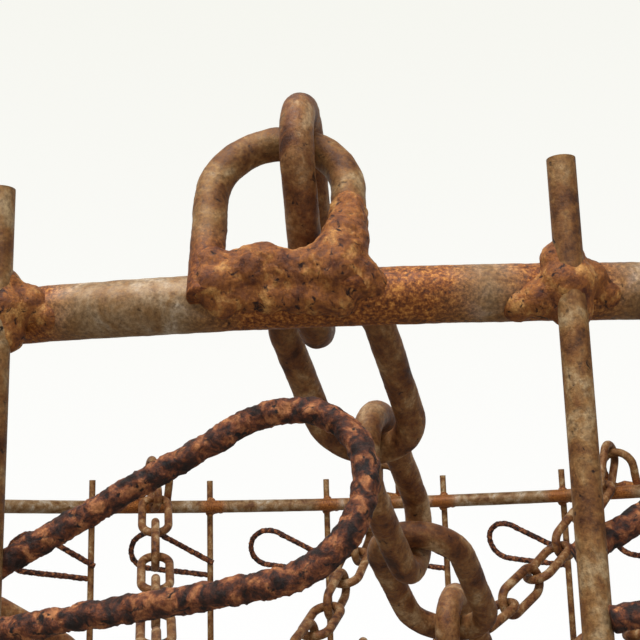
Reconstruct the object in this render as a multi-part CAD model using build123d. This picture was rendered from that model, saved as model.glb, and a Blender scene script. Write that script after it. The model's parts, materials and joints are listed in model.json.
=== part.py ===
from build123d import *
import math
import os

# Disc golf basket welded from round steel bar, in millimetres. +Z is up and the origin is on
# the ground at the centre of the pole. The front bay faces -Y, and bays are counted
# anticlockwise from it, seen from above. A shape that repeats around the pole is drawn in the
# XZ plane, with X pointing outwards, and then turned to its angle.

# ---- Overall sizes ----
ring_height = 1340.0  # centre of the outer ring above the ground
rim_drop = 32.75  # from the outer collector's centre down to the tray's rim
ring_radius = 292.0  # outer ring, to the centre of its bar
rim_radius = 330.0  # tray rim, to the centre of its bar
tray_depth = 170.0  # from the rim down to the bottom ring
tray_taper = 30.0  # how much smaller the bottom ring's radius is
band_height = 146.0  # from the outer ring down to the lower ring

# ---- Bars and wires ----
ring_bar = 8.0  # every main ring
post_wire = 3.9
loop_wire = 3.4
eye_wire = 4.9
arm_bar = 12.7
inner_strut_wire = 5.0
upright_wire = 5.0
floor_wire = 6.0
tray_strut_bar = 10.0
weld_gap = 0.05  # room left between two bars that are welded together
hang_gap = 0.3  # play between two hanging pieces

# ---- Counts ----
bay_count = 24  # posts around the band
swag_count = 12
curtain_count = 12
inner_count = 6
arm_count = 6
radial_count = 12
tray_strut_count = 4

# ---- Chain ----
link_wire = 4.9
link_length = 38.5  # outside
link_width = 20.7  # outside
swag_links = 7  # the first hangs in its eye and the others run straight in from it
curtain_links = 15
inner_links = 13
curtain_slack = 1.015  # strand length over the straight distance
eye_link_shift = 3.2  # where the first link rests, to the right of the eye's middle
eye_link_fall = 30.0  # the first link, in degrees from straight down
eye_link_turn = 2.3  # its heading, in degrees to the right of straight in
eye_link_play = 0.5  # more room for the second link, which turns out of the first one's plane
swag_chord = 0.993  # straight distance over the other links' length
swag_fall = 58.8  # their straight line, in degrees from straight down
swag_turn = 16.4  # its heading, in degrees to the right of straight in

# ---- Chain eyes on the outer ring ----
eye_width = 24.5  # outside
eye_rise = 20.4  # centre of the wire's top above the top of the ring
eye_lean = 4.0  # how far inside the ring's centre line the top stands
eye_foot_proud = 0.8  # centre of the wire at a foot, beyond the front of the ring
eye_foot_down = 0.5
weld_radius = 3.0
weld_proud = 0.7  # centre of a weld's bead, beyond the ring's surface
weld_angle = 42.5  # how far up the ring's front the bead lies, in degrees

# ---- Posts and loops of the band ----
post_nub = 17.0  # how far a post stands above the outer ring's centre
loop_length = 51.0  # cusp to tip, to the centre of the wire
loop_head = 12.4  # radius of the round end, to the centre of the wire
loop_drop = 41.5  # cusp below the outer ring's centre
loop_rise = 20.5  # degrees that a loop's axis rises
loop_tilt = 28.0  # degrees that a loop's upper side leans inwards
post_weld_radius = 4.2  # a blob of weld metal round a post

# ---- Inner ring ----
lug_thickness = 4.0
lug_web = 3.0  # metal between the hole and the lug's outer edge
lug_hole = 9.0
lug_seat = 1.2  # how deep a lug's round end is let into the inner ring
inner_nub = 6.0  # how far an inner strut stands above the inner ring's centre

# ---- Collectors ----
outer_collector_radius = 70.0
inner_collector_radius = 48.0

# ---- Pole, sleeves and anchor ----
pole_diameter = 48.3
pole_wall = 3.2
sleeve_clearance = 0.3
sleeve_wall = 5.0
top_sleeve_length = 60.0
arm_sleeve_edge = 4.0  # sleeve above the arms
cap_height = 6.0
cap_wall = 2.5
tray_sleeve_above = 16.0
tray_sleeve_below = 140.0
screw_diameter = 8.0
screw_head = 13.0
screw_head_height = 5.5
socket_clearance = 1.0
socket_wall = 5.0
socket_length = 160.0
plate_size = 260.0
plate_thickness = 8.0
plate_corner = 12.0
bolt_spacing = 200.0
bolt_hole = 14.0
gusset_reach = 60.0
gusset_height = 70.0
gusset_thickness = 6.0
pin_diameter = 10.0
pin_clearance = 0.3
pin_height = 110.0
pin_overhang = 10.0
pin_collar_diameter = 18.0
pin_collar_length = 4.0
pin_nose_length = 12.0
pin_ring_hole = 6.2
pin_ring_radius = 16.0
pin_ring_wire = 4.0

# ---- Tray ----
upright_nub = 14.0
floor_ring_radii = (115.0, 205.0)

# ---- Worked out from the sizes above ----
front = -90.0
bay_angle = 360.0 / bay_count
link_half = (link_length - link_width) / 2
link_bend = (link_width - link_wire) / 2
link_inner = link_bend - link_wire / 2
link_nest = link_bend - link_wire - hang_gap
eye_reach = link_half + link_inner - eye_wire / 2 - hang_gap
bar_reach = link_half + link_inner - ring_bar / 2 - hang_gap
web_half = math.hypot(lug_web, lug_thickness) / 2
web_reach = link_half + link_inner - web_half - hang_gap
link_pitch = 2 * link_half + link_bend + link_nest
link_reach = link_half + link_bend

eye_half = (eye_width - eye_wire) / 2
eye_top = Vector(ring_radius - eye_lean, 0, ring_height + ring_bar / 2 + eye_rise)
eye_foot = Vector(
    ring_radius + ring_bar / 2 + eye_foot_proud, 0, ring_height - eye_foot_down
)
eye_up = (eye_top - eye_foot).normalized()
weld_out = (ring_bar / 2 + weld_proud) * math.cos(math.radians(weld_angle))
weld_up = (ring_bar / 2 + weld_proud) * math.sin(math.radians(weld_angle))


def pointing(fall, turn):
    """Unit vector that falls and turns by these angles from straight down and straight in."""
    fall, turn = math.radians(fall), math.radians(turn)
    level = math.sin(fall)
    return Vector(-level * math.cos(turn), level * math.sin(turn), -math.cos(fall))


eye_link_sag = eye_half - math.sqrt(eye_half**2 - eye_link_shift**2)
swag_start = eye_top - eye_up * eye_link_sag + Vector(0, eye_link_shift, 0)
eye_link_axis = pointing(eye_link_fall, eye_link_turn)
eye_link_end = swag_start + eye_link_axis * (eye_reach + link_half)
swag_line = pointing(swag_fall, swag_turn)
swag_elbow = (eye_link_axis + swag_line).normalized()
swag_row_start = eye_link_end + swag_elbow * (link_nest - eye_link_play)
swag_row_span = (link_reach + (swag_links - 2) * link_pitch + web_reach) * swag_chord
swag_end = swag_row_start + swag_line * swag_row_span
swag_heading = pointing(90.0, swag_turn)
lug_centre = swag_end + swag_heading * (lug_web / 2 + lug_hole / 2)
lug_angle = math.degrees(math.atan2(lug_centre.Y, lug_centre.X))
lug_out = lug_hole / 2 + lug_web + ring_bar / 2 - lug_seat
inner_radius = math.hypot(lug_centre.X, lug_centre.Y) - lug_out
inner_height = lug_centre.Z

lower_height = ring_height - band_height
post_radius = ring_radius + ring_bar / 2 + post_wire / 2 + weld_gap
arm_height = lower_height - ring_bar / 2 - arm_bar / 2 - weld_gap
sleeve_inside = pole_diameter / 2 + sleeve_clearance
sleeve_outside = sleeve_inside + sleeve_wall
top_sleeve_top = arm_height + arm_bar / 2 + arm_sleeve_edge
pole_top = top_sleeve_top - arm_sleeve_edge
socket_inside = pole_diameter / 2 + socket_clearance
socket_outside = socket_inside + socket_wall
bottom_radius = rim_radius - tray_taper
arm_angle = 2.5 * bay_angle
inner_angle = (lug_angle + (lug_angle - 360.0 / swag_count)) / 2


def collector_height(start_radius, start_height, end_radius, links):
    """A collector hangs as low as its strands let it."""
    length = 2 * bar_reach + (links - 1) * link_pitch
    straight = length / curtain_slack
    return start_height - math.sqrt(straight**2 - (start_radius - end_radius) ** 2)


outer_collector_height = collector_height(
    ring_radius, lower_height, outer_collector_radius, curtain_links
)
inner_collector_height = collector_height(
    inner_radius, inner_height, inner_collector_radius, inner_links
)
rim_height = outer_collector_height - rim_drop
bottom_height = rim_height - tray_depth
floor_ring_height = bottom_height + ring_bar / 2 - floor_wire / 2
top_screw_height = top_sleeve_top - top_sleeve_length + 2 * screw_head_height
tray_screw_height = bottom_height - tray_sleeve_below / 2
screw_angles = (0.0, 120.0, 240.0)


def turned(shape, degrees):
    return Rot(0, 0, front + degrees) * shape


def around(shape, count, first=0.0):
    return [turned(shape, first + 360.0 * i / count) for i in range(count)]


def rod(start, end, diameter):
    start, end = Vector(*start), Vector(*end)
    along = end - start
    ends = (Align.CENTER, Align.CENTER, Align.MIN)
    return Plane(origin=start, z_dir=along) * Cylinder(diameter / 2, along.length, align=ends)


def hoop(radius, height, bar=ring_bar):
    return Pos(0, 0, height) * Torus(radius, bar / 2)


def tube(outside, inside, bottom, top):
    ends = (Align.CENTER, Align.CENTER, Align.MIN)
    wall = Cylinder(outside, top - bottom, align=ends) - Cylinder(inside, top - bottom, align=ends)
    return Pos(0, 0, bottom) * wall


def swept(path, wire):
    start = path @ 0
    section = Plane(origin=start, z_dir=path % 0) * Circle(wire / 2)
    return sweep(section, path=path)


def link():
    """A chain link with its length along Z and its width along X."""
    half = (Align.CENTER, Align.CENTER, Align.CENTER)
    legs = [
        Pos(side * link_bend, 0, 0) * Cylinder(link_wire / 2, 2 * link_half, align=half)
        for side in (-1, 1)
    ]
    bend = Rot(90, 0, 0) * Torus(link_bend, link_wire / 2)
    room = 2 * link_length
    above = Pos(0, 0, room / 2) * Box(room, room, room)
    top = Pos(0, 0, link_half) * (bend & above)
    bottom = Rot(180, 0, 0) * top
    return top + bottom + legs[0] + legs[1]


def hanging_row(across, down, first_reach, last_reach, count, first):
    """The pull in a hanging row of links and the places that it gives them.

    Each link lies along the pull on it. The pull's level part is the same everywhere and its
    upright part falls by one link's weight from link to link. Both are found by Newton's
    method, so that the row ends `across` and `down` from where it starts. Where two links
    meet, the crosswise one's wire nests in the other's bend, halfway between their axes.
    The links are counted from `first`, and the odd ones are the crosswise ones.
    """

    def places(level, upright):
        axes = []
        for k in range(count):
            size = math.hypot(level, upright - k)
            axes.append((level / size, (upright - k) / size))
        x, z = first_reach * axes[0][0], first_reach * axes[0][1]
        centres = [(x, z)]
        for k, (a, b) in enumerate(zip(axes, axes[1:]), first):
            middle = math.hypot(a[0] + b[0], a[1] + b[1])
            crosswise = b if k % 2 == 0 else a
            x += (link_half + link_nest / middle) * (a[0] + b[0]) + link_bend * crosswise[0]
            z += (link_half + link_nest / middle) * (a[1] + b[1]) + link_bend * crosswise[1]
            centres.append((x, z))
        miss = (x + last_reach * axes[-1][0] - across, z + last_reach * axes[-1][1] - down)
        return axes, centres, miss

    length = first_reach + last_reach + (count - 1) * link_pitch
    straight = math.hypot(across, down)
    pull = count * across / straight / math.sqrt(24 * (length / straight - 1))
    level, upright = pull * across / straight, pull * down / straight + count / 2
    nudge = 1e-5
    for _ in range(60):
        miss = places(level, upright)[2]
        by_level = places(level + nudge, upright)[2]
        by_upright = places(level, upright + nudge)[2]
        a, c = (by_level[0] - miss[0]) / nudge, (by_level[1] - miss[1]) / nudge
        b, d = (by_upright[0] - miss[0]) / nudge, (by_upright[1] - miss[1]) / nudge
        step_level = (d * miss[0] - b * miss[1]) / (a * d - b * c)
        step_upright = (a * miss[1] - c * miss[0]) / (a * d - b * c)
        share = min(1.0, 0.5 * level / abs(step_level)) if step_level else 1.0
        level -= share * step_level
        upright -= share * step_upright
    axes, centres, miss = places(level, upright)
    assert math.hypot(*miss) < 1e-6, "the links can't reach from end to end"
    return axes, centres


def strand(one_link, start, end, first_reach, last_reach, count, first=0):
    """A hanging strand from one point to another, its links turned a quarter in turn."""
    level = Vector(end.X - start.X, end.Y - start.Y, 0)
    across, inward = level.length, level.normalized()
    side = Vector(0, 0, 1).cross(inward)
    down = start.Z - end.Z
    axes, centres = hanging_row(across, down, first_reach, last_reach, count, first)
    links = []
    for k, (axis, centre) in enumerate(zip(axes, centres), first):
        along = inward * axis[0] - Vector(0, 0, axis[1])
        width = along.cross(side) if k % 2 == 0 else side
        place = start + inward * centre[0] - Vector(0, 0, centre[1])
        links.append(Plane(origin=place, x_dir=width, z_dir=along) * one_link)
    return links


def curtain_strand(one_link):
    start = Vector(ring_radius, 0, lower_height)
    end = Vector(outer_collector_radius, 0, outer_collector_height)
    return strand(one_link, start, end, bar_reach, bar_reach, curtain_links)


def inner_strand(one_link):
    start = Vector(inner_radius, 0, inner_height)
    end = Vector(inner_collector_radius, 0, inner_collector_height)
    return strand(one_link, start, end, bar_reach, bar_reach, inner_links)


def swag_strand(one_link):
    side = Vector(0, 0, 1).cross(pointing(90.0, eye_link_turn))
    place = swag_start + eye_link_axis * eye_reach
    hung = Plane(origin=place, x_dir=eye_link_axis.cross(side), z_dir=eye_link_axis) * one_link
    others = strand(
        one_link, swag_row_start, swag_end, link_reach, web_reach, swag_links - 1, first=1
    )
    return [hung] + others


def chain_eye():
    """One wire eye, its two feet lapped over the front of the ring."""
    shoulder = eye_top - eye_up * eye_half
    side = Vector(0, eye_half, 0)
    left = Line(eye_foot - side, shoulder - side)
    arch = ThreePointArc(shoulder - side, eye_top, shoulder + side)
    right = Line(shoulder + side, eye_foot + side)
    bent = swept(left + arch + right, eye_wire)
    return bent - hoop(ring_radius, ring_height, ring_bar + 2 * weld_gap)


def eye_weld():
    """The bead that runs along the front of the ring between an eye's feet."""
    half = (eye_width - 2 * eye_wire) / 2 - weld_gap
    bead = Pos(0, 0, ring_height + weld_up) * Torus(ring_radius + weld_out, weld_radius)
    room = 4 * weld_radius
    cutter = Pos(ring_radius, 0, ring_height) * Box(room, 2 * half, room)
    return (bead & cutter) - hoop(ring_radius, ring_height, ring_bar + 2 * weld_gap)


def post():
    """One upright of the band, in front of both rings."""
    top = (post_radius, 0, ring_height + post_nub)
    return rod(top, (post_radius, 0, lower_height - ring_bar), post_wire)


def post_weld(height):
    blob = Pos(post_radius - post_wire / 2, 0, height) * Sphere(post_weld_radius)
    blob -= hoop(ring_radius, height, ring_bar + 2 * weld_gap)
    top = (post_radius, 0, height + 2 * post_weld_radius)
    bottom = (post_radius, 0, height - 2 * post_weld_radius)
    cut = blob - rod(top, bottom, post_wire + 2 * weld_gap)
    return cut.solids()


def loop():
    """A teardrop of wire whose cusp meets the right-hand side of a post."""
    middle = loop_length - loop_head
    opening = math.asin(loop_head / middle)
    touch = middle * math.cos(opening)
    root = post_wire / 2 + loop_wire / 2 + weld_gap
    on_upper = (touch * math.cos(opening), touch * math.sin(opening))
    start = root / math.sin(opening)
    near = (start * math.cos(opening), start * math.sin(opening))
    upper = Line((near[0], near[1]), on_upper)
    head = ThreePointArc(on_upper, (loop_length, 0), (on_upper[0], -on_upper[1]))
    lower = Line((on_upper[0], -on_upper[1]), (near[0], -near[1]))
    shape = swept(upper + head + lower, loop_wire)
    standing = Rot(0, 0, 90) * (Rot(90, 0, 0) * shape)
    leaning = Rot(0, -loop_tilt, 0) * standing
    risen = Rot(loop_rise, 0, 0) * leaning
    return Pos(post_radius, 0, ring_height - loop_drop) * risen


def lug():
    """A round tab let into the outside of the inner ring, with a hole for a swag's last link."""
    place = Pos(inner_radius + lug_out, 0, inner_height)
    disc = Cylinder(lug_hole / 2 + lug_web, lug_thickness) - Cylinder(lug_hole / 2, lug_thickness)
    return place * disc - hoop(inner_radius, inner_height, ring_bar + 2 * weld_gap)


def inner_strut():
    """A rod inside the inner ring that stands on an arm."""
    radius = inner_radius - ring_bar / 2 - inner_strut_wire / 2 - weld_gap
    foot = arm_height + arm_bar / 2 + weld_gap
    return rod((radius, 0, foot), (radius, 0, inner_height + inner_nub), inner_strut_wire)


def arm():
    end = post_radius - (post_wire + post_weld_radius) / 2
    straight = rod((sleeve_inside, 0, arm_height), (end, 0, arm_height), arm_bar)
    return straight - Pos(0, 0, arm_height) * Cylinder(sleeve_outside + weld_gap, 4 * arm_bar)


def pole():
    shaft = tube(pole_diameter / 2, pole_diameter / 2 - pole_wall, plate_thickness, pole_top)
    return shaft - pin_bore(pin_diameter + 2 * pin_clearance)


def pin_bore(diameter):
    return Pos(0, 0, pin_height) * (Rot(90, 0, 0) * Cylinder(diameter / 2, 4 * socket_outside))


def pole_cap():
    """A domed cap that closes the pole and is turned down inside it."""
    skirt_radius = pole_diameter / 2 - pole_wall - sleeve_clearance
    skirt = tube(skirt_radius, skirt_radius - cap_wall, pole_top - 2 * cap_height, pole_top)
    disc = Pos(0, 0, pole_top + cap_wall / 2) * Cylinder(pole_diameter / 2, cap_wall)
    edge = disc.edges().filter_by(GeomType.CIRCLE).sort_by(Axis.Z)[-1]
    return fillet(edge, cap_wall * 0.8) + skirt


def screw(height, angle):
    """A hexagon screw that bears on the pole."""
    tip = pole_diameter / 2 + weld_gap
    seat = sleeve_outside + weld_gap
    shank = Cylinder(screw_diameter / 2, seat - tip, align=(Align.CENTER, Align.CENTER, Align.MIN))
    head = extrude(RegularPolygon(screw_head / 2, 6, major_radius=False), screw_head_height)
    whole = shank + Pos(0, 0, seat - tip) * head
    return turned(Pos(tip, 0, height) * (Rot(0, 90, 0) * whole), angle)


def screw_hole(height, angle):
    bore = Cylinder(screw_diameter / 2 + weld_gap, 4 * sleeve_wall)
    return turned(Pos(sleeve_outside, 0, height) * (Rot(0, 90, 0) * bore), angle)


def top_sleeve():
    wall = tube(sleeve_outside, sleeve_inside, top_sleeve_top - top_sleeve_length, top_sleeve_top)
    for angle in screw_angles:
        wall -= screw_hole(top_screw_height, angle)
    return wall


def tray_sleeve():
    bottom = bottom_height - tray_sleeve_below
    wall = tube(sleeve_outside, sleeve_inside, bottom, bottom_height + tray_sleeve_above)
    for angle in screw_angles:
        wall -= screw_hole(tray_screw_height, angle)
    return wall


def tray_wall_line():
    """Unit vector up the tray's wall and the vector out of it, in the XZ plane."""
    size = math.hypot(tray_taper, tray_depth)
    up = Vector(tray_taper / size, 0, tray_depth / size)
    return up, Vector(up.Z, 0, -up.X)


def tray_upright():
    up, out = tray_wall_line()
    away = out * (ring_bar / 2 + upright_wire / 2 + weld_gap)
    bottom = Vector(bottom_radius, 0, bottom_height) + away - up * ring_bar
    top = Vector(rim_radius, 0, rim_height) + away + up * upright_nub
    return rod(tuple(bottom), tuple(top), upright_wire)


def floor_radial():
    height = bottom_height + ring_bar / 2 + upright_wire / 2 + weld_gap
    inner = sleeve_outside + weld_gap
    straight = rod((sleeve_inside, 0, height), (bottom_radius, 0, height), upright_wire)
    return straight - Pos(0, 0, height) * Cylinder(inner, 4 * upright_wire)


def tray_strut():
    """A brace from the sleeve's lower end up to the outer floor ring."""
    low = bottom_height - tray_sleeve_below + 2 * tray_strut_bar
    high = floor_ring_height - floor_wire / 2 - tray_strut_bar / 2 - weld_gap
    knee = (floor_ring_radii[1] - 2 * tray_strut_bar, 0, high)
    path = FilletPolyline(
        (sleeve_inside, 0, low),
        knee,
        (floor_ring_radii[1] + tray_strut_bar, 0, high),
        radius=2 * tray_strut_bar,
    )
    height = (low + high) / 2
    bored = Pos(0, 0, height) * Cylinder(sleeve_outside + weld_gap, 4 * tray_sleeve_below)
    return swept(path, tray_strut_bar) - bored


def base_plate():
    plate = Pos(0, 0, plate_thickness / 2) * Box(plate_size, plate_size, plate_thickness)
    plate = fillet(plate.edges().filter_by(Axis.Z), plate_corner)
    for x in (-1, 1):
        for y in (-1, 1):
            place = Pos(x * bolt_spacing / 2, y * bolt_spacing / 2, plate_thickness / 2)
            plate -= place * Cylinder(bolt_hole / 2, 2 * plate_thickness)
    return plate


def gusset():
    near = socket_outside + weld_gap
    outline = Polyline(
        (near, plate_thickness + gusset_height),
        (near, plate_thickness),
        (near + gusset_reach, plate_thickness),
        (near + gusset_reach, plate_thickness + gusset_thickness),
        (near + gusset_thickness, plate_thickness + gusset_height),
        close=True,
    )
    return extrude(Plane.XZ * make_face(outline), gusset_thickness / 2, both=True)


def anchor_socket():
    wall = tube(
        socket_outside, socket_inside, plate_thickness, plate_thickness + socket_length
    )
    return wall - pin_bore(pin_diameter + 2 * pin_clearance)


def lock_pin():
    """The pin through socket and pole: a collar, a nose in front of it and a ring to pull by."""
    seat = socket_outside + hang_gap
    tail = socket_outside + pin_overhang
    ends = (Align.CENTER, Align.CENTER, Align.MIN)
    front = pin_collar_length + pin_nose_length
    shank = Pos(0, 0, -front) * Cylinder(pin_diameter / 2, front + seat + tail, align=ends)
    collar_disc = Cylinder(pin_collar_diameter / 2, pin_collar_length, align=ends)
    collar = Pos(0, 0, -pin_collar_length) * collar_disc
    hole_place = Pos(0, 0, -pin_collar_length - pin_nose_length / 2)
    hole = hole_place * (Rot(0, 90, 0) * Cylinder(pin_ring_hole / 2, 2 * pin_diameter))
    ring = hole_place * Pos(0, pin_ring_radius, 0) * Torus(pin_ring_radius, pin_ring_wire / 2)
    placed = Pos(0, -seat, pin_height) * Rot(-90, 0, 0)
    return [placed * (shank + collar - hole), placed * ring]


def save(name, *shapes):
    solids = []
    for shape in shapes:
        solids.extend(shape.solids())
    whole = solids[0] if len(solids) == 1 else Compound(children=solids)
    export_step(whole, f"parts/{name}.step")


os.makedirs("parts", exist_ok=True)
one_link = link()

save("base_plate", base_plate())
save("gussets", *[Rot(0, 0, 45 + 90 * i) * gusset() for i in range(4)])
save("anchor_socket", anchor_socket())
save("lock_pin", *lock_pin())
save("pole", pole())
save("pole_cap", pole_cap())
save("tray_sleeve", tray_sleeve())
save(
    "set_screws",
    *[screw(height, a) for height in (top_screw_height, tray_screw_height) for a in screw_angles],
)
save("tray_struts", *around(tray_strut(), tray_strut_count, 180.0 / radial_count))
save("tray_floor_radials", *around(floor_radial(), radial_count))
save("tray_floor_rings", *[hoop(r, floor_ring_height, floor_wire) for r in floor_ring_radii])
save("tray_bottom_ring", hoop(bottom_radius, bottom_height))
save("tray_middle_ring", hoop((bottom_radius + rim_radius) / 2, (bottom_height + rim_height) / 2))
save("tray_rim", hoop(rim_radius, rim_height))
save("tray_uprights", *around(tray_upright(), bay_count, bay_angle / 2))
save("top_sleeve", top_sleeve())
save("top_arms", *around(arm(), arm_count, arm_angle))
save("lower_ring", hoop(ring_radius, lower_height))
save("outer_ring", hoop(ring_radius, ring_height))
save("deflector_posts", *around(post(), bay_count, bay_angle / 2))
save("deflector_loops", *around(loop(), bay_count, bay_angle / 2))
save("chain_eyes", *around(chain_eye(), swag_count))
welds = around(eye_weld(), swag_count)
for height in (ring_height, lower_height):
    for piece in post_weld(height):
        welds += around(piece, bay_count, bay_angle / 2)
save("weld_beads", *welds)
save("inner_ring", hoop(inner_radius, inner_height))
save("inner_ring_lugs", *around(lug(), swag_count, lug_angle))
save("inner_ring_struts", *around(inner_strut(), arm_count, arm_angle))
save("outer_collector", hoop(outer_collector_radius, outer_collector_height))
save("inner_collector", hoop(inner_collector_radius, inner_collector_height))

swag, curtain, inner = swag_strand(one_link), curtain_strand(one_link), inner_strand(one_link)
for i in range(swag_count):
    save(f"swag_chain_{i + 1:02d}", *[turned(s, 360.0 * i / swag_count) for s in swag])
for i in range(curtain_count):
    angle = 360.0 * i / curtain_count
    save(f"curtain_chain_{i + 1:02d}", *[turned(s, angle) for s in curtain])
for i in range(inner_count):
    angle = inner_angle + 360.0 * i / inner_count
    save(f"inner_chain_{i + 1}", *[turned(s, angle) for s in inner])
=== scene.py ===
import json
import math

import bpy
import numpy as np
from mathutils import Matrix, Quaternion, Vector


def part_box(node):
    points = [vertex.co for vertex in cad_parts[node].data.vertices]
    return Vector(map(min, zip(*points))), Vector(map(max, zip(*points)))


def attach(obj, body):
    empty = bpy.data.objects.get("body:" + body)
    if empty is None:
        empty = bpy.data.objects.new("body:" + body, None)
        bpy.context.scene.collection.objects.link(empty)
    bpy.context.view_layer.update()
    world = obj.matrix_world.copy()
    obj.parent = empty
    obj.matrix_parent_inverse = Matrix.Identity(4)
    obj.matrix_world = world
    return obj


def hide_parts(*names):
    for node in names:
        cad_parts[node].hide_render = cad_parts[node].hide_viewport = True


# Looks of a disc golf basket welded from round steel bar and left to rust. Metres, +Z up, the
# front bay faces -Y. A piece that repeats round the pole is shaped in its own bay's place, with
# X outwards, Y along the ring to the right and Z up, and then turned to each bay.

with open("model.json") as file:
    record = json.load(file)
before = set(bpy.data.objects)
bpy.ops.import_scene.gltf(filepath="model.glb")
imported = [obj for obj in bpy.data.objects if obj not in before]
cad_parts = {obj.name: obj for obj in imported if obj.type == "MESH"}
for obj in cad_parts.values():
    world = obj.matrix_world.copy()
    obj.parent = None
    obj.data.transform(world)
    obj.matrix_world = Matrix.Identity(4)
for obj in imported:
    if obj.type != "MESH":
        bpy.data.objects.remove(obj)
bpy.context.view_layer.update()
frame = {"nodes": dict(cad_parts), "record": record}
nodes = frame["nodes"]

MM = 0.001
FRONT = -90.0  # degrees, where the front bay is
POSTS = 24
POST_STEP = 360.0 / POSTS
EYES = 12
EYE_STEP = 360.0 / EYES

# ---- Sizes of the band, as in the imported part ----
RING_BAR = 8.0 * MM
ring_low, ring_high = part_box("outer_ring")
RING_RADIUS = (ring_high.x - ring_low.x) / 2 - RING_BAR / 2
RING_HEIGHT = (ring_high.z + ring_low.z) / 2
lower_low, lower_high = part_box("lower_ring")
LOWER_HEIGHT = (lower_high.z + lower_low.z) / 2
POST_WIRE = 3.9 * MM
POST_RADIUS = RING_RADIUS + RING_BAR / 2 + POST_WIRE / 2
EYE_WIRE = 4.9 * MM
EYE_WIDTH = 24.5 * MM
EYE_HALF = (EYE_WIDTH - EYE_WIRE) / 2
EYE_TOP = Vector((-4.0, 0, 24.4)) * MM  # from the ring bar's centre, as the feet are
EYE_FOOT = Vector((4.8, 0, -0.5)) * MM
LINK_WIRE = 4.9 * MM
LINK_LENGTH = 38.5 * MM
LINK_WIDTH = 20.7 * MM
LOOP_WIRE = 3.4 * MM
LOOP_LENGTH = 53.0 * MM
LOOP_HEAD = 12.4 * MM  # radius of the round end
LOOP_FOOT = 4.4 * MM  # each strand's distance from the loop's middle line, at the post
LOOP_DROP = 39.4 * MM  # below the ring
LOOP_RISE = 18.0  # degrees
LOOP_TILT = 28.0  # degrees that the upper strand leans in


# ---- Small tools ----
def deselect():
    """Leaves edit mode and selects nothing."""
    if bpy.context.object and bpy.context.object.mode != "OBJECT":
        bpy.ops.object.mode_set(mode="OBJECT")
    bpy.ops.object.select_all(action="DESELECT")


def take(obj):
    """Makes one object the selected and active one."""
    deselect()
    obj.hide_set(False)
    obj.select_set(True)
    bpy.context.view_layer.objects.active = obj


def edit_all(obj):
    """Opens one object for editing with its whole mesh selected."""
    take(obj)
    bpy.ops.object.mode_set(mode="EDIT")
    bpy.ops.mesh.select_all(action="SELECT")


def close_up(obj):
    """Merges the seams, fills open ends and turns every face outwards."""
    edit_all(obj)
    bpy.ops.mesh.remove_doubles(threshold=1e-6)
    bpy.ops.mesh.fill_holes(sides=0)
    bpy.ops.mesh.select_all(action="SELECT")
    bpy.ops.mesh.normals_make_consistent(inside=False)
    bpy.ops.object.mode_set(mode="OBJECT")
    bpy.ops.object.shade_smooth()


def start_wire(name, place, along, wire, around):
    """A circle of a wire's thickness, from which runs and turns are drawn."""
    deselect()
    facing = Vector(along).to_track_quat("Z", "Y").to_euler()
    bpy.ops.mesh.primitive_circle_add(
        vertices=around, radius=wire / 2, location=place, rotation=facing
    )
    obj = bpy.context.object
    obj.name = name
    bpy.ops.object.transform_apply(location=True, rotation=True, scale=True)
    edit_all(obj)
    return obj


def run(way, steps):
    """Draws the wire on in a straight line."""
    for _ in range(steps):
        bpy.ops.mesh.extrude_region_move(TRANSFORM_OT_translate={"value": Vector(way) / steps})


def turn(centre, axis, degrees, steps):
    """Draws the wire on round an axis. Spin counts its angle the other way."""
    bpy.ops.mesh.spin(steps=steps, angle=-math.radians(degrees), center=centre, axis=axis)


def apply(obj, kind, **settings):
    """Adds a modifier with these settings and applies it."""
    take(obj)
    made = obj.modifiers.new(kind.lower(), kind)
    for name, value in settings.items():
        setattr(made, name, value)
    bpy.ops.object.modifier_apply(modifier=made.name)


def roughen(obj, height, size):
    """Lifts and sinks the surface by a noise of this size, as rust and hammering leave it."""
    texture = bpy.data.textures.new(obj.name + "_rough", "CLOUDS")
    texture.noise_scale = size
    apply(obj, "DISPLACE", texture=texture, texture_coords="LOCAL", strength=height)


def copy_of(obj, name, place):
    """A copy with its own mesh, carried to a place that is a matrix."""
    made = bpy.data.objects.new(name, obj.data.copy())
    bpy.context.scene.collection.objects.link(made)
    made.matrix_world = place
    take(made)
    bpy.ops.object.transform_apply(location=True, rotation=True, scale=True)
    return made


def join(objs, name):
    """Makes one object of several, under this name."""
    deselect()
    for obj in objs:
        obj.select_set(True)
    bpy.context.view_layer.objects.active = objs[0]
    bpy.ops.object.join()
    objs[0].name = name
    return objs[0]


def at_bay(degrees, height=RING_HEIGHT, radius=RING_RADIUS):
    """Carries a shape from a ring's own bay place to the bay at this angle."""
    turned = Matrix.Rotation(math.radians(FRONT + degrees), 4, "Z")
    return turned @ Matrix.Translation((radius, 0, height))


def drop(obj):
    """Removes a shape that was only there to be copied."""
    bpy.data.objects.remove(obj)


def points_of(obj):
    """An object's mesh points, one row each."""
    points = np.empty(len(obj.data.vertices) * 3)
    obj.data.vertices.foreach_get("co", points)
    return points.reshape(-1, 3)


def set_bloom(obj, value):
    """Stores how much fresh rust each point carries, from 0 to 1, for the material to read."""
    layer = obj.data.attributes.new("bloom", "FLOAT", "POINT")
    layer.data.foreach_set("value", np.clip(value, 0, 1))


# ---- Colours and material nodes ----
def linear(code):
    """sRGB hex to the linear colour that the shader takes."""
    parts = [int(code[i : i + 2], 16) / 255 for i in (1, 3, 5)]
    return [c / 12.92 if c <= 0.04045 else ((c + 0.055) / 1.055) ** 2.4 for c in parts] + [1.0]


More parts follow.
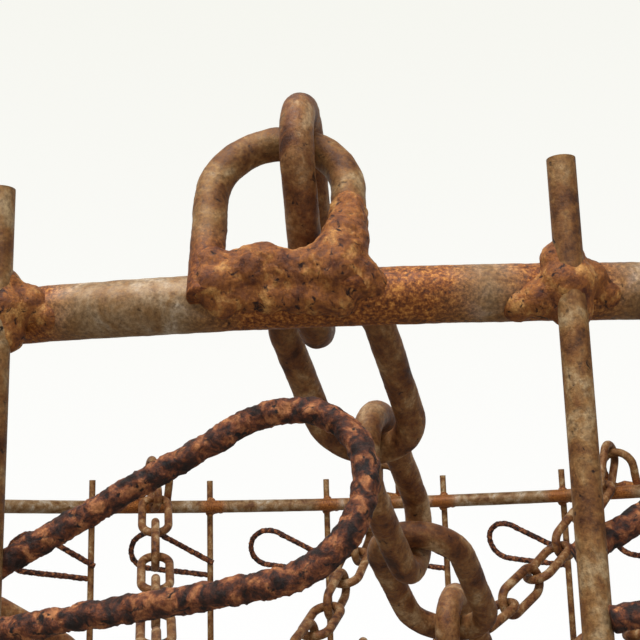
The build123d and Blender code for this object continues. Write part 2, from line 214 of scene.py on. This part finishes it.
def add(tree, kind, inputs=None, stops=(), **settings):
    """Adds a node. An input, named or numbered, takes a value or another node's output socket.

    `stops` are a colour ramp's (place, hex) pairs, from its low end to its high end.
    """
    made = tree.nodes.new(kind)
    for name, value in settings.items():
        setattr(made, name, value)
    for name, value in (inputs or {}).items():
        if isinstance(value, bpy.types.NodeSocket):
            tree.links.new(value, made.inputs[name])
        else:
            made.inputs[name].default_value = value
    for place, code in stops[1:-1]:
        made.color_ramp.elements.new(place)
    for k, (place, code) in enumerate(stops):
        made.color_ramp.elements[k].position = place
        made.color_ramp.elements[k].color = linear(code)
    return made


# The crust's own light and dark, laid over every tone.
SPECKLE = [(0.32, "#7d6c60"), (0.5, "#d2cbc5"), (0.66, "#ffffff")]


def rusted(
    name,
    tones,
    patch,
    grain,
    pits="#1a0a04",
    pit_share=0.40,
    bump=0.35,
    roughness=(0.55, 0.85),
    metallic=0.0,
    orange=None,
):
    """Rusted mild steel. Patches of several tones, a fine grain, dark pits and a rough surface.

    `patch` and `grain` are sizes in metres. `orange` is a tone laid over the surface by the
    piece's own "bloom" attribute, where weld heat and water have brought fresh rust out.
    """
    material = bpy.data.materials.new(name)
    material.use_nodes = True
    tree = material.node_tree
    shader = tree.nodes["Principled BSDF"]
    where = add(tree, "ShaderNodeTexCoord").outputs["Object"]

    # Patches set the tone, grains are the fine crust, and spots are where it has pitted.
    lumps = {
        "patches": (patch, 5.0, 0.62, 0.4),
        "grains": (grain, 6.0, 0.7, 0.0),
        "spots": (grain * 2.6, 3.0, 0.55, 0.6),
    }
    rust = {}
    for key, (size, detail, fineness, swirl) in lumps.items():
        settings = {
            "Vector": where,
            "Scale": 1 / size,
            "Detail": detail,
            "Roughness": fineness,
            "Distortion": swirl,
        }
        rust[key] = add(tree, "ShaderNodeTexNoise", settings).outputs["Fac"]
    patches, grains, spots = rust["patches"], rust["grains"], rust["spots"]

    colour = add(tree, "ShaderNodeValToRGB", {"Fac": patches}, tones).outputs["Color"]
    if orange:
        bloom = add(tree, "ShaderNodeAttribute", attribute_name="bloom").outputs["Fac"]
        ragged = add(
            tree, "ShaderNodeMath", {0: bloom, 1: patches, 2: -0.12}, operation="MULTIPLY_ADD"
        )
        share = add(tree, "ShaderNodeMapRange", {"Value": ragged.outputs[0], "From Max": 0.28})
        fresh = add(tree, "ShaderNodeValToRGB", {"Fac": grains}, orange)
        layers = {0: share.outputs["Result"], 6: colour, 7: fresh.outputs["Color"]}
        colour = add(tree, "ShaderNodeMix", layers, data_type="RGBA").outputs[2]
    speckle = add(tree, "ShaderNodeValToRGB", {"Fac": grains}, SPECKLE)
    layers = {0: 0.8, 6: colour, 7: speckle.outputs["Color"]}
    shaded = add(tree, "ShaderNodeMix", layers, data_type="RGBA", blend_type="MULTIPLY")
    limits = {"Value": spots, "From Min": pit_share, "From Max": pit_share - 0.10}
    pitted = add(tree, "ShaderNodeMapRange", limits)
    layers = {0: pitted.outputs["Result"], 6: shaded.outputs[2], 7: linear(pits)}
    colour = add(tree, "ShaderNodeMix", layers, data_type="RGBA").outputs[2]
    tree.links.new(colour, shader.inputs["Base Color"])

    rough_low, rough_high = roughness
    limits = {"Value": grains, "From Min": 0.3, "From Max": 0.7}
    limits |= {"To Min": rough_low, "To Max": rough_high}
    dullness = add(tree, "ShaderNodeMapRange", limits)
    tree.links.new(dullness.outputs["Result"], shader.inputs["Roughness"])
    shader.inputs["Metallic"].default_value = metallic
    shader.inputs["Specular IOR Level"].default_value = 0.35

    heights = add(tree, "ShaderNodeMath", {0: grains, 1: spots}, operation="ADD")
    relief = {"Height": heights.outputs[0], "Strength": bump, "Distance": grain * 0.5}
    surface = add(tree, "ShaderNodeBump", relief)
    tree.links.new(surface.outputs["Normal"], shader.inputs["Normal"])
    return material


# Round bar: the mill scale has worn to a dull tan with brown rust between.
worn_bar = rusted(
    "worn_mild_steel_bar",
    [(0.34, "#6c4626"), (0.45, "#927048"), (0.55, "#a58c6c"), (0.66, "#c4b6a2")],
    patch=6 * MM,
    grain=0.55 * MM,
    pit_share=0.34,
    bump=0.25,
    roughness=(0.42, 0.70),
    metallic=0.25,
    orange=[(0.34, "#5a2a0e"), (0.5, "#94541f"), (0.66, "#c88a44")],
)
# Drawn wire of the eyes and posts: olive-brown rust, rubbed lighter where chain has moved.
wire_rust = rusted(
    "rusted_drawn_wire",
    [(0.34, "#5a3416"), (0.46, "#85592e"), (0.56, "#9c7648"), (0.68, "#bca37c")],
    patch=5 * MM,
    grain=0.6 * MM,
    pit_share=0.36,
    bump=0.4,
    roughness=(0.5, 0.8),
    metallic=0.15,
    orange=[(0.3, "#5a2a12"), (0.5, "#84491f"), (0.7, "#a86a34")],
)
# Weld metal left bare: granular orange and red-brown rust with dark pits between the ripples.
weld_rust = rusted(
    "rusted_weld_metal",
    [(0.32, "#5a2c14"), (0.44, "#8a5228"), (0.54, "#a4662f"), (0.66, "#d09a58")],
    patch=2.4 * MM,
    grain=0.45 * MM,
    pits="#240c05",
    pit_share=0.42,
    bump=0.9,
    roughness=(0.5, 0.85),
    metallic=0.1,
)
# Thin loop wire: the rust has swollen and flaked, near black with red-brown and orange skin.
loop_rust = rusted(
    "flaked_rusty_wire",
    [(0.38, "#200e08"), (0.47, "#4e2818"), (0.54, "#7e4628"), (0.64, "#b87a4c")],
    patch=2.2 * MM,
    grain=0.5 * MM,
    pits="#140705",
    pit_share=0.44,
    bump=0.9,
    roughness=(0.55, 0.9),
    metallic=0.0,
)
# Welded link chain: dark brown rust in the shade of the links, tan where they have rubbed.
chain_rust = rusted(
    "rusted_link_chain",
    [(0.34, "#4c2810"), (0.45, "#7a4a24"), (0.55, "#966a3e"), (0.68, "#c0a078")],
    patch=6 * MM,
    grain=0.6 * MM,
    pit_share=0.36,
    bump=0.45,
    roughness=(0.45, 0.78),
    metallic=0.15,
)
# Mild steel tube: an even brown rust with water streaks.
tube_rust = rusted(
    "rusted_mild_steel_tube",
    [(0.30, "#54381f"), (0.46, "#735030"), (0.58, "#86673f"), (0.72, "#9a8162")],
    patch=22 * MM,
    grain=0.9 * MM,
    pit_share=0.33,
    bump=0.3,
    roughness=(0.5, 0.8),
    metallic=0.2,
)
# Flat plate at the ground: the same rust, darker and with wider patches.
plate_rust = rusted(
    "rusted_mild_steel_plate",
    [(0.30, "#452c1a"), (0.46, "#684628"), (0.58, "#7b5a38"), (0.72, "#8f7657")],
    patch=35 * MM,
    grain=1.1 * MM,
    pit_share=0.34,
    bump=0.35,
    roughness=(0.55, 0.85),
    metallic=0.15,
)
# Zinc plated screws and pin: the plating has dulled and rust has run over it.
plated = rusted(
    "weathered_zinc_plate",
    [(0.30, "#6e5236"), (0.46, "#8d7c63"), (0.58, "#a39a8a"), (0.72, "#b8b2a6")],
    patch=5 * MM,
    grain=0.5 * MM,
    pit_share=0.32,
    bump=0.2,
    roughness=(0.35, 0.6),
    metallic=0.7,
)

FINISH = {
    "ring_bar": worn_bar,
    "wire": wire_rust,
    "weld": weld_rust,
    "loop_wire": loop_rust,
    "chain": chain_rust,
    "tube": tube_rust,
    "plate": plate_rust,
    "fastener": plated,
}


def paint(obj, slot_name):
    """Gives a piece its slot's finish, all over."""
    obj.data.materials.clear()
    obj.data.materials.append(FINISH[slot_name])


def fit(obj, body, slot_name, replaced):
    """A finished piece: its finish, the body it rides on and the CAD node it stands for."""
    paint(obj, slot_name)
    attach(obj, body)
    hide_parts(replaced)


for part in frame["record"]["subparts"]:
    paint(nodes[part["node"]], part["material_slot"])


# ---- Outer ring ----
def outer_ring():
    """The ring's bar, in finer steps through the front bay than round the rest."""
    near, near_steps, far_steps, around = 26.0, 400, 420, 64
    start = Matrix.Rotation(math.radians(FRONT - near / 2), 4, "Z") @ Vector((RING_RADIUS, 0, 0))
    along = Vector((0, 0, 1)).cross(start)
    place = start + Vector((0, 0, RING_HEIGHT))
    obj = start_wire("outer_ring_bar", place, along, RING_BAR, around)
    centre = (0, 0, RING_HEIGHT)
    turn(centre, (0, 0, 1), near, near_steps)
    turn(centre, (0, 0, 1), 360.0 - near, far_steps)
    close_up(obj)
    roughen(obj, 0.22 * MM, 2.6 * MM)
    return obj


def bloom_on_ring(obj):
    """How much fresh rust the bar carries: most by the eyes' welds and by the posts'."""
    points = points_of(obj)
    degrees = np.degrees(np.arctan2(points[:, 1], points[:, 0])) - FRONT
    degree = math.radians(1.0) * RING_RADIUS
    from_eye = ((degrees + EYE_STEP / 2) % EYE_STEP - EYE_STEP / 2) * degree
    from_post = (degrees % POST_STEP - POST_STEP / 2) * degree
    by_eye = np.exp(-(((from_eye - 8 * MM) / (19 * MM)) ** 4))
    by_post = np.exp(-((from_post / (9 * MM)) ** 2))
    set_bloom(obj, np.maximum(by_eye, by_post))


ring = outer_ring()
bloom_on_ring(ring)
fit(ring, "frame", "ring_bar", "outer_ring")


# ---- Chain eyes ----
def chain_eye():
    """One bent wire eye: two legs and a round arch, at its bay's place on the ring."""
    up = (EYE_TOP - EYE_FOOT).normalized()
    side = Vector((0, EYE_HALF, 0))
    shoulder = EYE_TOP - up * EYE_HALF
    facing = up.cross(Vector((0, 1, 0)))
    leg = shoulder - EYE_FOOT
    obj = start_wire("eye_shape", EYE_FOOT - side, leg, EYE_WIRE, 32)
    run(leg, 26)
    turn(shoulder, facing, 180.0, 52)
    run(-leg, 26)
    close_up(obj)
    roughen(obj, 0.35 * MM, 3.0 * MM)
    roughen(obj, 0.12 * MM, 0.9 * MM)
    return obj


def bloom_by_height(obj, full, none):
    """Fresh rust that fades up a piece, between two heights over the ring bar's centre."""
    set_bloom(obj, (none - points_of(obj)[:, 2]) / (none - full))


eye_shape = chain_eye()
bloom_by_height(eye_shape, 4 * MM, 13 * MM)
for i in range(EYES):
    eye = copy_of(eye_shape, f"chain_eye_{i + 1:02d}", at_bay(EYE_STEP * i))
    fit(eye, "frame", "wire", "chain_eyes")
drop(eye_shape)


# ---- Welds ----
def weld_mass(name, lumps, grain, height):
    """Weld metal laid as overlapping lumps (along, out, up, radius in mm), melted together."""
    beads = []
    for along, out, up, radius in lumps:
        deselect()
        bpy.ops.mesh.primitive_ico_sphere_add(
            subdivisions=3, radius=radius * MM, location=(out * MM, along * MM, up * MM)
        )
        bead = bpy.context.object
        bpy.ops.object.transform_apply(location=True, rotation=True, scale=True)
        beads.append(bead)
    obj = join(beads, name)
    apply(obj, "REMESH", mode="VOXEL", voxel_size=grain)
    apply(obj, "SMOOTH", factor=0.6, iterations=16)
    roughen(obj, height, 2.2 * MM)
    roughen(obj, height * 0.45, 0.8 * MM)
    bpy.ops.object.shade_smooth()
    return obj


# The lump over the left foot, the bead between the feet and the fillet that climbs the right leg.
# Each lump is how far along, out and up from the bar's centre it is, and its radius, in mm.
EYE_WELD = [
    (-8.8, 4.4, 1.4, 2.9),
    (-8.9, 3.4, 4.2, 2.8),
    (-7.4, 3.7, 2.0, 3.1),
    (-7.6, 3.6, -0.6, 2.6),
    (-5.6, 3.3, 3.0, 3.3),
    (-3.6, 3.5, 3.6, 3.4),
    (-1.8, 3.5, 3.9, 3.4),
    (0.2, 3.5, 3.4, 3.2),
    (2.2, 3.5, 3.0, 3.2),
    (4.2, 3.5, 3.1, 3.4),
    (6.2, 3.6, 3.4, 3.7),
    (8.2, 4.0, 2.8, 3.9),
    (8.6, 3.2, 5.2, 3.9),
    (9.2, 2.4, 7.6, 3.5),
    (9.6, 1.5, 10.0, 3.0),
    (9.7, 0.8, 12.2, 2.75),
    (11.0, 3.2, 1.8, 3.1),
    (-4.4, 2.9, 0.4, 2.8),
    (-1.0, 3.1, 0.0, 2.8),
    (2.6, 3.2, -0.2, 2.8),
    (5.4, 3.2, -0.4, 2.9),
    (8.4, 3.3, -0.8, 2.8),
    (12.9, 2.3, 0.8, 2.3),
]
eye_weld = weld_mass("eye_weld_shape", EYE_WELD, 0.30 * MM, 0.7 * MM)
welds = [copy_of(eye_weld, "eye_weld_01", at_bay(0.0))]
apply(eye_weld, "DECIMATE", ratio=0.25)
for i in range(1, EYES):
    welds.append(copy_of(eye_weld, f"eye_weld_{i + 1:02d}", at_bay(EYE_STEP * i)))
drop(eye_weld)
for weld in welds:
    fit(weld, "frame", "weld", "weld_beads")

# A lump round the post, running out along the ring on both sides.
POST_WELD = [
    (0.0, 4.6, 0.0, 3.9),
    (-0.4, 4.4, 3.2, 3.1),
    (0.4, 4.4, -3.4, 3.0),
    (-3.2, 3.0, -1.6, 3.0),
    (3.2, 3.0, 0.8, 2.9),
    (-6.2, 1.8, -2.2, 2.5),
    (6.0, 2.2, -1.0, 2.3),
]
post_weld = weld_mass("post_weld_shape", POST_WELD, 0.4 * MM, 0.45 * MM)
front_post_welds = [
    copy_of(post_weld, f"front_post_weld_{k + 1}", at_bay(angle))
    for k, angle in enumerate((-POST_STEP / 2, POST_STEP / 2))
]
for weld in front_post_welds:
    fit(weld, "frame", "weld", "weld_beads")
apply(post_weld, "DECIMATE", ratio=0.16)
others = []
for i in range(POSTS):
    angle = POST_STEP * (i + 0.5)
    if i not in (0, POSTS - 1):
        others.append(copy_of(post_weld, f"post_weld_{i}", at_bay(angle)))
    others.append(copy_of(post_weld, f"lower_weld_{i}", at_bay(angle, LOWER_HEIGHT)))
fit(join(others, "post_welds"), "frame", "weld", "weld_beads")
drop(post_weld)


# ---- Wire loops ----
def wire_loop():
    """One teardrop of thin wire, drawn flat from its post at the origin to its tip at +X."""
    middle = LOOP_LENGTH - LOOP_HEAD
    opening = math.asin((LOOP_HEAD - LOOP_FOOT) / middle)
    foot = Vector((0, LOOP_FOOT / math.cos(opening), 0))
    touch = Vector((middle - LOOP_HEAD * math.sin(opening), LOOP_HEAD * math.cos(opening), 0))
    upper = touch - foot
    lower = Vector((-upper.x, upper.y, 0))
    obj = start_wire("loop_shape", foot, upper, LOOP_WIRE, 28)
    run(upper, 110)
    turn((middle, 0, 0), (0, 0, 1), -(180.0 + 2 * math.degrees(opening)), 150)
    run(lower, 110)
    close_up(obj)
    roughen(obj, 0.75 * MM, 2.4 * MM)
    roughen(obj, 0.55 * MM, 1.0 * MM)
    roughen(obj, 0.25 * MM, 0.45 * MM)
    return obj


def loop_place(degrees):
    """The flat loop stood up along the ring, leant in, raised and carried to its post."""
    stood = Matrix.Rotation(math.radians(90), 4, "Z") @ Matrix.Rotation(math.radians(90), 4, "X")
    leant = Matrix.Rotation(math.radians(-LOOP_TILT), 4, "Y") @ stood
    raised = Matrix.Rotation(math.radians(LOOP_RISE), 4, "X") @ leant
    return at_bay(degrees, RING_HEIGHT - LOOP_DROP, POST_RADIUS) @ raised


loop_shape = wire_loop()
front_loop = copy_of(loop_shape, "front_loop", loop_place(-POST_STEP / 2))
fit(front_loop, "frame", "loop_wire", "deflector_loops")
apply(loop_shape, "DECIMATE", ratio=0.2)
loops = []
for i in range(POSTS - 1):
    loops.append(copy_of(loop_shape, f"loop_{i}", loop_place(POST_STEP * (i + 0.5))))
fit(join(loops, "deflector_wire_loops"), "frame", "loop_wire", "deflector_loops")
drop(loop_shape)


# ---- The front swag's links ----
def chain_link():
    """One link, its length along Z and its width along X, its wire closed on itself."""
    bend = (LINK_WIDTH - LINK_WIRE) / 2
    half = (LINK_LENGTH - LINK_WIDTH) / 2
    obj = start_wire("link_shape", (bend, 0, -half), (0, 0, 1), LINK_WIRE, 30)
    run((0, 0, 2 * half), 22)
    turn((0, 0, half), (0, 1, 0), -180.0, 34)
    run((0, 0, -2 * half), 22)
    turn((0, 0, -half), (0, 1, 0), -180.0, 34)
    close_up(obj)
    roughen(obj, 0.25 * MM, 3.5 * MM)
    roughen(obj, 0.10 * MM, 0.9 * MM)
    return obj


def link_places(node):
    """A matrix for each link of a packed strand, from the top one down.

    A link is longest along its length and next along its width, which gives both directions.
    """
    deselect()
    strand = bpy.data.objects.new("strand_copy", nodes[node].data.copy())
    bpy.context.scene.collection.objects.link(strand)
    edit_all(strand)
    bpy.ops.mesh.remove_doubles(threshold=1e-6)
    bpy.ops.mesh.separate(type="LOOSE")
    bpy.ops.object.mode_set(mode="OBJECT")
    places = []
    for part in list(bpy.context.selected_objects):
        points = points_of(part)
        _, axes = np.linalg.eigh(np.cov((points - points.mean(0)).T))
        length, width = Vector(axes[:, 2]), Vector(axes[:, 1])
        turned = Matrix((width, length.cross(width), length)).transposed().to_4x4()
        places.append(Matrix.Translation(points.mean(0)) @ turned)
        drop(part)
    return sorted(places, key=lambda place: -place.translation.z)


link_shape = chain_link()
links = [
    copy_of(link_shape, f"link_{k}", place)
    for k, place in enumerate(link_places("swag_chain_01"))
]
fit(join(links, "front_swag_links"), "swag_chain_01", "chain", "swag_chain_01")
drop(link_shape)


# ---- Floor, light and camera ----
FRONT_EYE = Vector((0, -RING_RADIUS, RING_HEIGHT))


def floor():
    """A pale plaster floor at the basket's foot."""
    deselect()
    bpy.ops.mesh.primitive_circle_add(vertices=96, radius=6.0, fill_type="NGON")
    obj = bpy.context.object
    obj.name = "floor"
    material = bpy.data.materials.new("pale_plaster_floor")
    material.use_nodes = True
    shader = material.node_tree.nodes["Principled BSDF"]
    shader.inputs["Base Color"].default_value = linear("#d9d6cf")
    shader.inputs["Roughness"].default_value = 0.9
    obj.data.materials.append(material)


def sky():
    """A white backdrop beyond the basket, and a dimmer room on this side of it."""
    world = bpy.data.worlds.new("studio")
    bpy.context.scene.world = world
    world.use_nodes = True
    tree = world.node_tree
    back = tree.nodes["Background"]
    where = add(tree, "ShaderNodeTexCoord").outputs["Generated"]
    axes = add(tree, "ShaderNodeSeparateXYZ", {"Vector": where})
    limits = {"Value": axes.outputs["Z"], "From Min": -0.1, "From Max": 0.7}
    share = add(tree, "ShaderNodeMapRange", limits)
    whites = [(0.0, "#ffffff"), (0.35, "#fcfcf9"), (1.0, "#f2f2e9")]
    backdrop = add(tree, "ShaderNodeValToRGB", {"Fac": share.outputs["Result"]}, whites)
    limits = {"Value": axes.outputs["Y"], "From Min": 0.1, "From Max": 0.6}
    beyond = add(tree, "ShaderNodeMapRange", limits)
    layers = {0: beyond.outputs["Result"], 6: linear("#77746f"), 7: backdrop.outputs["Color"]}
    colour = add(tree, "ShaderNodeMix", layers, data_type="RGBA").outputs[2]
    tree.links.new(colour, back.inputs["Color"])
    back.inputs["Strength"].default_value = 1.0


def soft_light(name, place, aim, size, power):
    """A round lamp, this many metres across and this many watts."""
    lamp = bpy.data.lights.new(name, "AREA")
    lamp.shape = "DISK"
    lamp.size = size
    lamp.energy = power
    obj = bpy.data.objects.new(name, lamp)
    obj.location = place
    obj.rotation_mode = "QUATERNION"
    obj.rotation_quaternion = (Vector(aim) - Vector(place)).to_track_quat("-Z", "Y")
    bpy.context.scene.collection.objects.link(obj)


def camera():
    """Close to the front eye, a little to its right and below it, looking up and in."""
    distance = 0.150
    to_left, upwards, roll = math.radians(6.5), math.radians(13.5), math.radians(1.1)
    ahead = Vector((-math.sin(to_left), math.cos(to_left), 0))
    sight = ahead * math.cos(upwards) + Vector((0, 0, math.sin(upwards)))
    data = bpy.data.cameras.new("camera")
    data.sensor_width = 36.0
    data.lens = 61.1
    data.clip_start = 0.005
    data.dof.use_dof = False
    obj = bpy.data.objects.new("camera", data)
    obj.location = FRONT_EYE - sight * distance
    obj.rotation_mode = "QUATERNION"
    # The eye sits a little left of the middle of the view and above it.
    aside = Vector((-0.0359, 0.0184, -1.0)).rotation_difference(Vector((0, 0, -1)))
    level = sight.to_track_quat("-Z", "Y")
    obj.rotation_quaternion = level @ Quaternion((0, 0, 1), -roll) @ aside
    bpy.context.scene.collection.objects.link(obj)
    bpy.context.scene.camera = obj


floor()
sky()
soft_light("overhead", (-0.25, -0.75, 2.35), FRONT_EYE, 0.9, 22.0)
soft_light("front_fill", (0.9, -2.0, 1.7), FRONT_EYE, 1.4, 14.0)
camera()
bpy.context.scene.view_settings.view_transform = "Standard"
